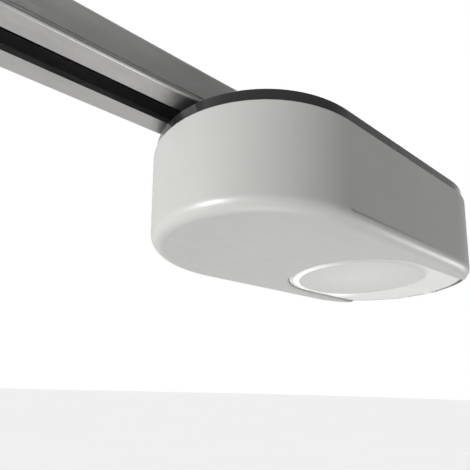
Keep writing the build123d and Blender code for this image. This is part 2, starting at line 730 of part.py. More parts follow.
def build_head_bracket():
    with BuildPart() as head_bracket:
        add_box((-25, 25), (-56, 56), (-strip_wall, 0))
        for side in (-1, 1):
            leg = sorted((side * 26, side * (26 + strip_wall)))
            foot = sorted((side * 26, side * 46))
            add_box((-20, 20), leg, (plate_top, -strip_wall))
            add_box((-20, 20), foot, (plate_top, plate_top + strip_wall))
        ceiling_points = [(x, y) for x in (-15, 15) for y in (-45, 45)]
        add_rod(ceiling_points, mount_bolt_r, -3, 1, mode=Mode.SUBTRACT)
        add_rod(bracket_screw_points, 2.7, plate_top, plate_top + strip_wall, mode=Mode.SUBTRACT)
    save(head_bracket, "head_bracket")
    with BuildPart() as bracket_screws:
        screw(bracket_screw_points, 4.2, 2.8, 2.5, plate_top + strip_wall, plate_top - 2.9, 2.2)
    save(bracket_screws, "bracket_screws")
    with BuildPart() as rail_hangers:
        foot_low = rail_bottom - strip_wall
        outer = rail_half + strip_wall
        slot_y = (40.3, 49.7)
        for x in hanger_x:
            reach = (x - hanger_half, x + hanger_half)
            add_box(reach, (-60, 60), (-strip_wall, 0))
            for side in (-1, 1):
                add_box(reach, sorted((side * rail_half, side * outer)), (foot_low, -strip_wall))
                add_box(reach, sorted((side * 16, side * outer)), (foot_low, rail_bottom))
                slot_middle = side * (slot_y[0] + slot_y[1]) / 2
                with Locations((x, slot_middle, -strip_wall / 2)):
                    Box(2 * mount_bolt_r, slot_y[1] - slot_y[0], 4, mode=Mode.SUBTRACT)
                slot_ends = [(x, side * y) for y in slot_y]
                add_rod(slot_ends, mount_bolt_r, -3, 1, mode=Mode.SUBTRACT)
    save(rail_hangers, "rail_hangers")


# ---------------------------------------------------------------- belt and idler
def build_belt():
    length = -idler_x
    with BuildPart() as drive_belt:
        with BuildSketch(Plane.XY.offset(belt_low)):
            with Locations((idler_x / 2, 0)):
                SlotCenterToCenter(length, 2 * belt_outer_r)
                SlotCenterToCenter(length, 2 * belt_inner_r, mode=Mode.SUBTRACT)
        extrude(amount=belt_high - belt_low)
    save(drive_belt, "drive_belt")


def build_idler():
    fork_x = idler_x - 18
    with BuildPart() as idler_fork:
        for low, high in ((-24.6, -22.9), (-8.5, -6.0)):
            add_box((fork_x, idler_x), (-12, 12), (low, high))
            add_rod([(idler_x, 0)], 12, low, high)
        add_box((fork_x - 10, fork_x), (-12, 12), (-24.6, -6.0))
        add_rod([(idler_x, 0)], idler_axle_r, -25, -5, mode=Mode.SUBTRACT)
        add_bar(tension_rod_r, fork_x - 11, fork_x + 1, 0, belt_z, mode=Mode.SUBTRACT)
    save(idler_fork, "idler_fork")
    with BuildPart() as idler_axle:
        add_rod([(idler_x, 0)], idler_axle_r, -24.9, -5.4)
        add_rod([(idler_x, 0)], 4.6, -5.9, -4.2)
    save(idler_axle, "idler_axle")
    rod_end = -2894.0
    with BuildPart() as tension_rod:
        add_bar(tension_rod_r, rod_end, fork_x, 0, belt_z)
        chamfer(tension_rod.edges().filter_by(GeomType.CIRCLE).group_by(Axis.X)[0], 0.8)
    save(tension_rod, "tension_rod")
    with BuildPart() as tension_spring:
        with BuildLine() as coil:
            Helix(pitch=3.6, height=20, radius=6.6)
        with BuildSketch(Plane(origin=coil.line @ 0, z_dir=coil.line % 0)):
            Circle(0.9)
        sweep(is_frenet=True)
    with BuildPart() as spring_on_rod:
        add(tension_spring.part.moved(Location((rail_door_end - 26, 0, belt_z), (0, 90, 0))))
    save(spring_on_rod, "tension_spring")
    with BuildPart() as tension_nut:
        with BuildSketch(Plane.YZ.offset(rail_door_end - 35)):
            with Locations((0, belt_z)):
                RegularPolygon(7.2, 6)
                Circle(tension_rod_r, mode=Mode.SUBTRACT)
        extrude(amount=6.5)
        with BuildSketch(Plane.YZ.offset(rail_door_end - 28.5)):
            with Locations((0, belt_z)):
                Circle(8.4)
                Circle(4.2, mode=Mode.SUBTRACT)
        extrude(amount=1.2)
    save(tension_nut, "tension_nut")


def build_lintel_end():
    start = rail_door_end - 4
    with BuildPart() as rail_end_fitting:
        cap_half = 28.2
        cap_height = (-31.0, -1.5)
        add_box((start, rail_door_end), (-cap_half, cap_half), cap_height)
        for side in (-1, 1):
            cheek = sorted((side * rail_half, side * cap_half))
            add_box((rail_door_end, rail_door_end + 50), cheek, cap_height)
            ear = sorted((side * 21.5, side * 24.5))
            add_box((lintel_x, start), ear, (-25.7, -5.7))
            add_pin(10, *ear, lintel_x, belt_z)
            add_pin(pivot_r + running_gap, *ear, lintel_x, belt_z, mode=Mode.SUBTRACT)
        add_bar(4.4, start - 1, rail_door_end + 1, 0, belt_z, mode=Mode.SUBTRACT)
    save(rail_end_fitting, "rail_end_fitting")
    wall_x = lintel_x - 26
    with BuildPart() as lintel_bracket:
        add_box((wall_x - 3, wall_x), (-42, 42), (belt_z - 50, belt_z + 14))
        fillet(lintel_bracket.edges().filter_by(Axis.X), 5)
        for side in (-1, 1):
            ear = sorted((side * 25, side * 28))
            add_box((wall_x, lintel_x), ear, (belt_z - 10, belt_z + 10))
            add_pin(10, *ear, lintel_x, belt_z)
            add_pin(pivot_r + running_gap, *ear, lintel_x, belt_z, mode=Mode.SUBTRACT)
        add_bolt_holes(wall_x - 4, wall_x + 1)
    save(lintel_bracket, "lintel_bracket")
    with BuildPart() as lintel_pin:
        add_pin(pivot_r, -30, 30, lintel_x, belt_z)
        add_pin(6.5, 28.4, 31.4, lintel_x, belt_z)
        add_pin(6.5, -31.4, -28.4, lintel_x, belt_z)
    save(lintel_pin, "lintel_pin")


def add_bolt_holes(start, end):
    """Four wall holes through the lintel bracket."""
    for y in (-32, 32):
        for z in (belt_z - 40, belt_z + 4):
            add_bar(mount_bolt_r, start, end, y, z, mode=Mode.SUBTRACT)


# ---------------------------------------------------------------- carriage and door arm
def build_carriage():
    x = carriage_x
    with BuildPart() as carriage_slider:
        wing = 23.3
        shoe_length = 30.0
        add_box((x - slider_half, x + slider_half), (-wing, wing), (-9.4, -4.4))
        fillet(carriage_slider.edges().filter_by(Axis.Z), 4)
        add_box((x - slider_half, x + slider_half), (-13.2, 13.2), (-24.2, -9.4))
        for start in (x - slider_half, x + slider_half - shoe_length):
            for side in (-1, 1):
                add_box((start, start + shoe_length), sorted((side * 13, side * wing)), (-24.2, -21.6))
        add_box((x - 50, x + 50), (-8.4, 8.4), (-33, -24.2))
        add_rod([(latch_x, 0)], pivot_r + running_gap, -34, -16, mode=Mode.SUBTRACT)
    save(carriage_slider, "carriage_slider")
    with BuildPart() as belt_clamp:
        add_box((x - 20, x + 20), (17.0, 20.6), (-21.6, -9.4))
        fillet(belt_clamp.edges().filter_by(Axis.Z), 1.2)
        tooth_pitch = 5.0
        tooth_half = 1.2
        for step in range(6):
            middle = x - 13 + tooth_pitch * step
            groove = (middle - tooth_half, middle + tooth_half)
            add_box(groove, (17.0, 17.6), (-22, -9), mode=Mode.SUBTRACT)
        add_box((x - 20, x + 20), (14.0, 20.6), (-24.2, -21.6))
    save(belt_clamp, "belt_clamp")
    with BuildPart() as carriage_body:
        add_box((x - body_half, x + body_half), (-21, 21), (-64, -33))
        fillet(carriage_body.edges().filter_by(Axis.Y), 7)
        fillet(carriage_body.edges().group_by(Axis.Z)[0], 3)
        add_box((x - body_half - 1, arm_x + 20), (-3.4, 7.8), (-66, -38), mode=Mode.SUBTRACT)
        add_box((lever_x - 14, x + body_half + 1), (-10, 10), (-66, -40), mode=Mode.SUBTRACT)
        add_rod([(latch_x, 0)], pivot_r + running_gap, -41, -32, mode=Mode.SUBTRACT)
        add_pin(pivot_r, -22, 22, arm_x, arm_z, mode=Mode.SUBTRACT)
        add_pin(lever_pin_r, -22, 22, lever_x, lever_z, mode=Mode.SUBTRACT)
    save(carriage_body, "carriage_body")
    with BuildPart() as carriage_pins:
        add_pin(pivot_r, -21, 21, arm_x, arm_z)
        add_pin(5.5, 21, 23, arm_x, arm_z)
        add_pin(5.5, -23, -21, arm_x, arm_z)
        add_pin(lever_pin_r, -21, 21, lever_x, lever_z)
    save(carriage_pins, "carriage_pins")


def build_release():
    with BuildPart() as release_lever:
        add_pin(8, -8, 8, lever_x, lever_z)
        add_box((lever_x, lever_x + 46), (-8, 8), (lever_z - 7, lever_z))
        fillet(release_lever.edges().filter_by(Axis.Z), 2.5)
        add_pin(lever_pin_r + running_gap, -9, 9, lever_x, lever_z, mode=Mode.SUBTRACT)
        add_rod([(lever_x + 40, 0)], 2.2, lever_z - 8, lever_z + 1, mode=Mode.SUBTRACT)
    save(release_lever, "release_lever")
    with BuildPart() as latch_pin:
        add_rod([(latch_x, 0)], pivot_r, -46, -18)
        chamfer(latch_pin.edges().group_by(Axis.Z)[-1], 1)
        add_rod([(latch_x, 0)], 6.5, -46, -44)
    save(latch_pin, "latch_pin")


def arm_bar(y, low, high):
    """A flat bar with round ends, hanging straight down from the carriage."""
    middle = (low + high) / 2
    with BuildSketch(Plane.XZ.offset(-y[1])) as face:
        with Locations((arm_x, middle)):
            SlotOverall(high - low, arm_width, rotation=90)
    extrude(face.sketch, amount=y[1] - y[0])


def build_door_arm():
    with BuildPart() as door_arm_upper:
        arm_bar(arm_upper_y, -246, arm_z + arm_width / 2)
        add_pin(pivot_r + running_gap, -3, 3, arm_x, arm_z, mode=Mode.SUBTRACT)
        for z in arm_hole_z:
            add_pin(mount_bolt_r, -3, 3, arm_x, z, mode=Mode.SUBTRACT)
    save(door_arm_upper, "door_arm_upper")
    with BuildPart() as door_arm_lower:
        arm_bar(arm_lower_y, bracket_pin_z - arm_width / 2, -164)
        add_pin(pivot_r + running_gap, 1, 7, arm_x, bracket_pin_z, mode=Mode.SUBTRACT)
        for z in arm_hole_z:
            add_pin(mount_bolt_r, 1, 7, arm_x, z - 80, mode=Mode.SUBTRACT)
    save(door_arm_lower, "door_arm_lower")
    with BuildPart() as arm_bolts:
        for z in arm_bolt_z:
            add_pin(mount_bolt_r, arm_upper_y[0], 9.0, arm_x, z)
            for start, depth in ((-6.5, 4.0), (6.5, 5.0)):
                with BuildSketch(Plane.XZ.offset(-(start + depth))):
                    with Locations((arm_x, z)):
                        RegularPolygon(6, 6)
                extrude(amount=depth)
    save(arm_bolts, "arm_bolts")


def build_door_bracket():
    plate_x = arm_x - 20
    with BuildPart() as door_bracket:
        add_box((plate_x - 3, plate_x), (-28, 37), (bracket_pin_z - 62, bracket_pin_z + 6))
        fillet(door_bracket.edges().filter_by(Axis.X), 5)
        for y in ((-2.0, 1.0), (8.0, 11.0)):
            add_box((plate_x, arm_x), y, (bracket_pin_z - 8, bracket_pin_z + 6))
            add_pin(8, *y, arm_x, bracket_pin_z)
            add_pin(pivot_r, *y, arm_x, bracket_pin_z, mode=Mode.SUBTRACT)
        for y in (-18, 27):
            for z in (bracket_pin_z - 52, bracket_pin_z - 16):
                add_bar(mount_bolt_r, plate_x - 4, plate_x + 1, y, z, mode=Mode.SUBTRACT)
    save(door_bracket, "door_bracket")
    with BuildPart() as door_bracket_pin:
        add_pin(pivot_r, arm_upper_y[0], 11.5, arm_x, bracket_pin_z)
        add_pin(6, -4.5, -2.0, arm_x, bracket_pin_z)
        add_pin(6, 11.0, 13.0, arm_x, bracket_pin_z)
    save(door_bracket_pin, "door_bracket_pin")


# ---------------------------------------------------------------- build everything
build_base_plate()
build_mains_inlet()
build_cover()
build_lens()
build_lens_hinge_pins()
build_cover_screws()
build_gearbox()
build_bearings()
build_worm_wheel()
build_output_shaft()
build_pulleys()
build_motor()
build_worm_shaft()
build_transformer()
build_board()
build_lamp()
build_rail()
build_head_bracket()
build_belt()
build_idler()
build_lintel_end()
build_carriage()
build_release()
build_door_arm()
build_door_bracket()
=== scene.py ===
"""Looks for the ceiling garage door opener: materials, finer pieces, studio light and camera.

Metres, in the part's own frame: +Z up, the ceiling at Z = 0, X along the rail with the door at -X.
"""
import json
import math

import bmesh
import bpy
from mathutils import Matrix, Vector


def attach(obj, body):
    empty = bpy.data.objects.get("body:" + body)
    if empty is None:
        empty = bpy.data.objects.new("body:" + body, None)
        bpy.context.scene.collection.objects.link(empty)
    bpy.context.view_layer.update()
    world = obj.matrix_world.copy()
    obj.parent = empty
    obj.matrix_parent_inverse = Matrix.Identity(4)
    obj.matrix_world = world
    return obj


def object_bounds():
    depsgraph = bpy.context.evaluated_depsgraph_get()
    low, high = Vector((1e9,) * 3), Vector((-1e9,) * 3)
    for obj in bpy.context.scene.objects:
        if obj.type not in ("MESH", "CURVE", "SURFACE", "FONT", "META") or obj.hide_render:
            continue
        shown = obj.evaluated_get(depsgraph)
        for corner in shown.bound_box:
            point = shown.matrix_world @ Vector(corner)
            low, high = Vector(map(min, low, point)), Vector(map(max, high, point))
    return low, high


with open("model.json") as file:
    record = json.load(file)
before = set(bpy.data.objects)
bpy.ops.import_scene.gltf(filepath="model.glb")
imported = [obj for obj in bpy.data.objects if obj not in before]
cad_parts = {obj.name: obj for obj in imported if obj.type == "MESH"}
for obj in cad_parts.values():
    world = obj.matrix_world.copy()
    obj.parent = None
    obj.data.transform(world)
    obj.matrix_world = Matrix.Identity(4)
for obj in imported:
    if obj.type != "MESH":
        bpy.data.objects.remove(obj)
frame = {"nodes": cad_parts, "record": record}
cad_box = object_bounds()

MM = 0.001
CREASE_ANGLE = math.radians(28)  # edges sharper than this stay hard when shaded

# ---------------------------------------------------------------- camera and studio
CAMERA_PLACE = Vector((-0.254169, -0.234304, -0.223111))
CAMERA_YAW = 0.945
CAMERA_PITCH = 0.258
CAMERA_ROLL = 0.026
CAMERA_LENS = 30.65
CAMERA_SHIFT_Y = 0.1064
FLOOR_DROP = 0.25  # the floor lies this far under the part's lowest point
FLOOR_HALF = 60.0
FLOOR_CORNERS = ((-1, -1), (1, -1), (1, 1), (-1, 1))
CAMERA_CLIP = (0.01, 200.0)
ROOM_BRIGHT_WAY = Vector((0.35, 0.94, 0.0))
ROOM_DARK_AT = -0.6
ROOM_BRIGHT_AT = 0.5
ROOM_DARK = 0.10
ROOM_BRIGHT = 0.70
ROOM_WHITE = (1.0, 1.0, 1.0, 1.0)
WASH_POWER = 1.6
WASH_ANGLE = math.radians(80)
LIGHT_AIM = Vector((0.0, 0.0, -0.08))
SOFT_LIGHTS = {
    # name: place, width, power, spread of the beam
    "key_light": (Vector((-1.7, -0.10, -0.50)), 0.7, 2.0, math.radians(28)),
    "floor_glow": (Vector((0.05, 0.05, -0.62)), 0.5, 0.16, math.radians(50)),
    "edge_light": (Vector((1.25, -0.45, -0.60)), 0.55, 0.6, math.radians(50)),
}


# ---------------------------------------------------------------- the lens's tones, with painted shade and painted highlights
DISH_CENTRE = (0.061, 0.0, 0.0)
DISH_RADIUS = 0.0556
DISH_FADE = 0.3 * MM
DISH_RIM_OUTER = 0.062
# painted shade: the dish is coloured darker than the rest of the lens, standing in for the shading of its
# concave bowl
DISH_PAINTED_SHADE_COLOUR = (0.36, 0.36, 0.352)
# painted light: the middle of the dish is coloured lighter, fading out towards its edge as the bowl's
# shading would
DISH_PAINTED_LIGHT = 0.6
DISH_PAINTED_LIGHT_RADIUS = DISH_RADIUS - 8 * MM
DISH_PAINTED_LIGHT_COLOUR = (0.44, 0.44, 0.432)
LENS_COLOUR = (0.50, 0.50, 0.49)
LENS_CLOUDS = (0.48, 0.48, 0.465)
RIM_FADE = 2 * MM
# painted shade: the ring around the dish is coloured darker on the near side (-Y)
RIM_PAINTED_SHADE_SPAN = (-35 * MM, -5 * MM)
RIM_PAINTED_SHADE_COLOUR = (0.36, 0.36, 0.355)
# painted highlight: the ring around the dish is coloured lighter towards the far side (+Y), where the light
# falls on it
RIM_LIT_SPAN = (-20 * MM, 10 * MM)
RIM_LIT_COLOUR = (0.70, 0.70, 0.69)
# painted highlight: a light band along the lens's far edge (+Y), fading out towards its far end
PAINTED_HIGHLIGHT_SPAN_X = (105 * MM, 120 * MM)
PAINTED_HIGHLIGHT_SPAN_Y = (36 * MM, 48 * MM)
PAINTED_HIGHLIGHT_COLOUR = (0.80, 0.80, 0.79)


# ---------------------------------------------------------------- material helpers
class Nodes:
    """A material's node tree with a Principled surface, and short calls that add to it."""

    def __init__(self, name, colour, roughness, metallic=0.0, **constants):
        self.material = bpy.data.materials.new(name)
        self.material.use_nodes = True
        self.tree = self.material.node_tree
        self.surface = self.tree.nodes["Principled BSDF"]
        self.set(self.surface, "Base Color", (*colour, 1.0))
        self.set(self.surface, "Roughness", roughness)
        self.set(self.surface, "Metallic", metallic)
        for socket, value in constants.items():
            self.set(self.surface, socket.replace("_", " "), value)
        self.colour = (*colour, 1.0)
        self.place = self.add("ShaderNodeTexCoord").outputs["Object"]

    def add(self, kind, **settings):
        node = self.tree.nodes.new(kind)
        for key, value in settings.items():
            setattr(node, key, value)
        return node

    def set(self, node, socket, value):
        node.inputs[socket].default_value = value

    def link(self, output, node, socket):
        self.tree.links.new(output, node.inputs[socket])

    def scaled(self, scale):
        """Object coordinates stretched by a factor along each axis."""
        mapping = self.add("ShaderNodeMapping")
        self.set(mapping, "Scale", scale)
        self.link(self.place, mapping, "Vector")
        return mapping.outputs["Vector"]

    def noise(self, size, detail=3.0, rough=0.55, stretch=(1.0, 1.0, 1.0), distortion=0.0):
        """Noise whose features measure about size metres, longer where stretch is over 1."""
        node = self.add("ShaderNodeTexNoise")
        self.link(self.scaled([1.0 / (size * s) for s in stretch]), node, "Vector")
        self.set(node, "Scale", 1.0)
        self.set(node, "Detail", detail)
        self.set(node, "Roughness", rough)
        self.set(node, "Distortion", distortion)
        return node.outputs["Fac"]

    def cells(self, size, stretch=(1.0, 1.0, 1.0), feature="F1", output="Color"):
        node = self.add("ShaderNodeTexVoronoi", feature=feature)
        self.link(self.scaled([1.0 / (size * s) for s in stretch]), node, "Vector")
        self.set(node, "Scale", 1.0)
        return node.outputs[output]

    def bands(self, size, direction, distortion=0.0):
        """Straight bands of one width across the X, Y or Z axis."""
        node = self.add("ShaderNodeTexWave", bands_direction=direction)
        self.link(self.scaled([math.pi / (10.0 * size)] * 3), node, "Vector")
        self.set(node, "Scale", 1.0)
        self.set(node, "Distortion", distortion)
        return node.outputs["Fac"]

    def along(self, axis):
        """The place along one of the part's axes, in metres."""
        node = self.add("ShaderNodeSeparateXYZ")
        self.link(self.place, node, "Vector")
        return node.outputs[axis]

    def times(self, first, second):
        node = self.add("ShaderNodeMath", operation="MULTIPLY")
        self.link(first, node, 0)
        self.link(second, node, 1)
        return node.outputs["Value"]

    def radius_about(self, centre):
        """The distance in plan from an upright axis, in metres."""
        flat = self.scaled((1.0, 1.0, 0.0))
        node = self.add("ShaderNodeVectorMath", operation="DISTANCE")
        self.link(flat, node, 0)
        self.set(node, 1, centre)
        return node.outputs["Value"]

    def ramp(self, factor, low, high, start=0.0, end=1.0):
        """Maps a factor's start-to-end range onto low-to-high."""
        node = self.add("ShaderNodeMapRange")
        self.link(factor, node, "Value")
        self.set(node, "From Min", start)
        self.set(node, "From Max", end)
        self.set(node, "To Min", low)
        self.set(node, "To Max", high)
        return node.outputs["Result"]

    def tint(self, factor, colour):
        """Mixes the base colour towards another by a factor between 0 and 1."""
        node = self.add("ShaderNodeMix", data_type="RGBA")
        inputs = [s for s in node.inputs if s.type == "RGBA"]
        base = self.surface.inputs["Base Color"]
        if base.is_linked:
            self.tree.links.new(base.links[0].from_socket, inputs[0])
        else:
            inputs[0].default_value = self.colour
        inputs[1].default_value = (*colour, 1.0)
        self.link(factor, node, "Factor")
        output = [s for s in node.outputs if s.type == "RGBA"][0]
        self.link(output, self.surface, "Base Color")

    def rough_by(self, factor, low, high, start=0.3, end=0.7):
        self.link(self.ramp(factor, low, high, start, end), self.surface, "Roughness")

    def bump(self, height, distance, strength=1.0):
        """Adds relief of that depth in metres on top of what is there already."""
        node = self.add("ShaderNodeBump")
        self.set(node, "Strength", strength)
        self.set(node, "Distance", distance)
        self.link(height, node, "Height")
        normal = self.surface.inputs["Normal"]
        if normal.is_linked:
            self.tree.links.new(normal.links[0].from_socket, node.inputs["Normal"])
        self.link(node.outputs["Normal"], self.surface, "Normal")


def scale_colour(colour, factor):
    return tuple(min(1.0, c * factor) for c in colour)


def moulded_plastic(
    name, colour, roughness, grain=0.5 * MM, depth=0.02 * MM, mottle=0.04, swing=0.045, **constants
):
    """Injection-moulded plastic with a spark-eroded grain and faint flow marks."""
    nodes = Nodes(name, colour, roughness, **constants)
    flow_marks = nodes.ramp(nodes.noise(60 * MM, 4.0), 0.0, 1.0, 0.35, 0.65)
    nodes.tint(flow_marks, scale_colour(colour, 1.0 - mottle))
    nodes.rough_by(nodes.noise(12 * MM, 5.0), roughness - swing, roughness + swing)
    nodes.bump(nodes.noise(grain, 2.0, 0.5), depth, 0.5)
    return nodes


def worked_metal(
    name, colour, roughness, streak=(60.0, 1.0, 1.0), size=0.5 * MM, metallic=1.0, mottle=0.12, swing=0.075
):
    """Rolled or ground metal: fine streaks along one way, and soft patches of oxide."""
    nodes = Nodes(name, colour, roughness, metallic)
    oxide = nodes.ramp(nodes.noise(30 * MM, 5.0), 0.0, 1.0, 0.35, 0.7)
    nodes.tint(oxide, scale_colour(colour, 1.0 - mottle))
    streaks = nodes.noise(size, 4.0, 0.6, streak)
    nodes.rough_by(streaks, roughness - swing, roughness + swing)
    nodes.bump(streaks, 0.004 * MM, 0.4)
    return nodes


# ---------------------------------------------------------------- the slots' materials
def make_cover_plastic():
    return moulded_plastic(
        "cover_plastic", (0.325, 0.325, 0.314), 0.38, grain=0.45 * MM, depth=0.018 * MM, mottle=0.03
    )


def make_plate_plastic():
    return moulded_plastic(
        "plate_plastic", (0.016, 0.016, 0.017), 0.24, grain=0.6 * MM, depth=0.004 * MM, mottle=0.12,
        swing=0.015, Coat_Weight=0.9, Coat_Roughness=0.16,
    )


def make_lens_acrylic():
    """Frosted acrylic, with painted light: painted shade darkens the dish and the near side of its rim,
    painted highlights lighten the far side of the rim and a band along the far edge, and the dish's middle
    is painted lighter.
    """
    nodes = Nodes("lens_acrylic", LENS_COLOUR, 0.20, Coat_Weight=0.4)
    nodes.rough_by(nodes.noise(8 * MM, 4.0), 0.19, 0.27)
    nodes.tint(nodes.ramp(nodes.noise(25 * MM, 3.0), 0.0, 1.0, 0.35, 0.65), LENS_CLOUDS)
    radius = nodes.radius_about(DISH_CENTRE)
    across = nodes.along("Y")
    rim = nodes.ramp(radius, 1.0, 0.0, DISH_RIM_OUTER - RIM_FADE, DISH_RIM_OUTER)
    near_painted_shade = nodes.ramp(across, 1.0, 0.0, *RIM_PAINTED_SHADE_SPAN)
    lit_side = nodes.ramp(across, 0.0, 1.0, *RIM_LIT_SPAN)
    # painted shade: the ring around the dish is coloured darker on the near side
    nodes.tint(nodes.times(rim, near_painted_shade), RIM_PAINTED_SHADE_COLOUR)
    # painted highlight: the ring around the dish is coloured lighter towards the far side, where the light
    # falls
    nodes.tint(nodes.times(rim, lit_side), RIM_LIT_COLOUR)
    # painted highlight: a light band along the lens's far edge, fading out towards its far end
    painted_highlight = nodes.times(
        nodes.ramp(across, 0.0, 1.0, *PAINTED_HIGHLIGHT_SPAN_Y),
        nodes.ramp(nodes.along("X"), 1.0, 0.0, *PAINTED_HIGHLIGHT_SPAN_X),
    )
    nodes.tint(painted_highlight, PAINTED_HIGHLIGHT_COLOUR)
    # painted shade: the dish is coloured darker than the rest of the lens
    nodes.tint(nodes.ramp(radius, 1.0, 0.0, DISH_RADIUS - DISH_FADE, DISH_RADIUS), DISH_PAINTED_SHADE_COLOUR)
    # painted light: the dish's middle is coloured lighter, fading out towards its edge
    nodes.tint(nodes.ramp(radius, DISH_PAINTED_LIGHT, 0.0, 0.0, DISH_PAINTED_LIGHT_RADIUS), DISH_PAINTED_LIGHT_COLOUR)
    nodes.bump(nodes.noise(1.2 * MM, 2.0), 0.006 * MM, 0.3)
    return nodes


def make_galvanised_steel():
    nodes = worked_metal(
        "galvanised_steel", (0.42, 0.415, 0.41), 0.36, streak=(80.0, 1.0, 1.0), size=0.4 * MM
    )
    spangle = nodes.cells(7 * MM, (3.0, 1.0, 1.0))
    grey = nodes.add("ShaderNodeRGBToBW")
    nodes.link(spangle, grey, "Color")
    nodes.tint(nodes.ramp(grey.outputs["Val"], 0.0, 0.35, 0.2, 0.9), (0.50, 0.495, 0.49))
    return nodes


def make_zinc_plate():
    return worked_metal(
        "zinc_plate", (0.58, 0.59, 0.60), 0.32, streak=(9.0, 1.0, 9.0), size=0.5 * MM, swing=0.025
    )


def make_shaft_steel():
    return worked_metal("shaft_steel", (0.60, 0.60, 0.60), 0.22, streak=(1.0, 1.0, 12.0), size=0.3 * MM)


def make_die_cast():
    nodes = worked_metal("die_cast", (0.55, 0.56, 0.57), 0.48, streak=(1.0, 1.0, 1.0), size=1.5 * MM)
    nodes.bump(nodes.noise(0.8 * MM, 3.0), 0.03 * MM, 0.5)
    return nodes


def make_motor_steel():
    return worked_metal(
        "motor_steel", (0.16, 0.165, 0.17), 0.38, streak=(1.0, 8.0, 8.0), size=0.8 * MM, metallic=0.6
    )


def make_magnet_ferrite():
    return moulded_plastic(
        "magnet_ferrite", (0.07, 0.07, 0.072), 0.62, grain=0.25 * MM, depth=0.02 * MM, mottle=0.25
    )


def make_lamination():
    nodes = worked_metal(
        "lamination", (0.20, 0.19, 0.185), 0.50, streak=(1.0, 1.0, 1.0), size=0.8 * MM, metallic=0.7
    )
    nodes.bump(nodes.bands(0.5 * MM, "Z"), 0.10 * MM, 0.8)
    return nodes


def make_copper_winding():
    nodes = worked_metal("copper_winding", (0.62, 0.27, 0.10), 0.34, streak=(1.0, 1.0, 1.0), size=0.5 * MM)
    turns = nodes.bands(0.6 * MM, "Z", 0.4)
    # painted shade: the copper is darker in the grooves between the turns
    nodes.tint(nodes.ramp(turns, 0.6, 0.0, 0.0, 0.5), (0.20, 0.08, 0.03))
    nodes.bump(turns, 0.2 * MM)
    return nodes


def make_circuit_board():
    nodes = Nodes("circuit_board", (0.012, 0.10, 0.045), 0.30, Coat_Weight=0.3)
    tracks = nodes.cells(4 * MM, (1.0, 1.0, 1.0), "DISTANCE_TO_EDGE", "Distance")
    nodes.tint(nodes.ramp(tracks, 1.0, 0.0, 0.04, 0.06), (0.03, 0.18, 0.08))
    nodes.rough_by(nodes.noise(6 * MM, 4.0), 0.26, 0.40)
    nodes.bump(nodes.ramp(tracks, 1.0, 0.0, 0.03, 0.07), 0.03 * MM, 0.6)
    return nodes


def make_belt_rubber():
    nodes = moulded_plastic(
        "belt_rubber", (0.022, 0.022, 0.023), 0.62, grain=0.3 * MM, depth=0.03 * MM, mottle=0.3
    )
    wear = nodes.noise(3 * MM, 4.0, 0.6, (8.0, 1.0, 1.0))
    nodes.tint(nodes.ramp(wear, 0.0, 0.5, 0.5, 0.8), (0.06, 0.06, 0.058))
    return nodes


def make_spring_steel():
    return worked_metal("spring_steel", (0.34, 0.34, 0.35), 0.32, streak=(1.0, 1.0, 1.0), size=0.5 * MM)


def make_black_plastic():
    return moulded_plastic(
        "black_plastic", (0.024, 0.024, 0.026), 0.44, grain=0.5 * MM, depth=0.03 * MM, mottle=0.2
    )


def make_gear_nylon():
    return moulded_plastic(
        "gear_nylon", (0.74, 0.70, 0.60), 0.40, grain=1.0 * MM, depth=0.01 * MM, mottle=0.06,
        Subsurface_Weight=0.2, Subsurface_Scale=0.002,
    )


def make_relay_plastic():
    return moulded_plastic(
        "relay_plastic", (0.03, 0.08, 0.28), 0.34, grain=0.4 * MM, depth=0.015 * MM, mottle=0.1
    )


def make_capacitor_sleeve():
    nodes = moulded_plastic(
        "capacitor_sleeve", (0.02, 0.02, 0.03), 0.20, grain=2.0 * MM, depth=0.02 * MM, mottle=0.1
    )
    nodes.tint(nodes.ramp(nodes.bands(9 * MM, "Y"), 0.0, 1.0, 0.93, 0.95), (0.45, 0.45, 0.43))
    return nodes


def make_terminal_plastic():
    return moulded_plastic(
        "terminal_plastic", (0.04, 0.26, 0.09), 0.42, grain=0.4 * MM, depth=0.02 * MM, mottle=0.1
    )


def make_led_phosphor():
    return moulded_plastic(
        "led_phosphor", (0.80, 0.62, 0.14), 0.45, grain=0.2 * MM, depth=0.01 * MM, mottle=0.1
    )


def make_release_red():
    return moulded_plastic(
        "release_red", (0.55, 0.018, 0.012), 0.30, grain=0.8 * MM, depth=0.015 * MM, mottle=0.08
    )


MAKERS = {
    "cover_plastic": make_cover_plastic,
    "plate_plastic": make_plate_plastic,
    "lens_acrylic": make_lens_acrylic,
    "galvanised_steel": make_galvanised_steel,
    "zinc_plate": make_zinc_plate,
    "shaft_steel": make_shaft_steel,
    "die_cast": make_die_cast,
    "motor_steel": make_motor_steel,
    "magnet_ferrite": make_magnet_ferrite,
    "lamination": make_lamination,
    "copper_winding": make_copper_winding,
    "circuit_board": make_circuit_board,
    "belt_rubber": make_belt_rubber,
    "spring_steel": make_spring_steel,
    "black_plastic": make_black_plastic,
    "gear_nylon": make_gear_nylon,
    "relay_plastic": make_relay_plastic,
    "capacitor_sleeve": make_capacitor_sleeve,
    "terminal_plastic": make_terminal_plastic,
    "led_phosphor": make_led_phosphor,
    "release_red": make_release_red,
}
materials = {slot: make().material for slot, make in MAKERS.items()}


# ---------------------------------------------------------------- dress the CAD nodes
def dress_nodes():
    """Gives every CAD node its slot's material, and smooth shading broken at its real edges."""
    for part in frame["record"]["subparts"]:
        node = frame["nodes"][part["node"]]
        node.data.materials.clear()
        node.data.materials.append(materials[part["material_slot"]])
        node.data.shade_smooth()
        node.data.set_sharp_from_angle(angle=CREASE_ANGLE)


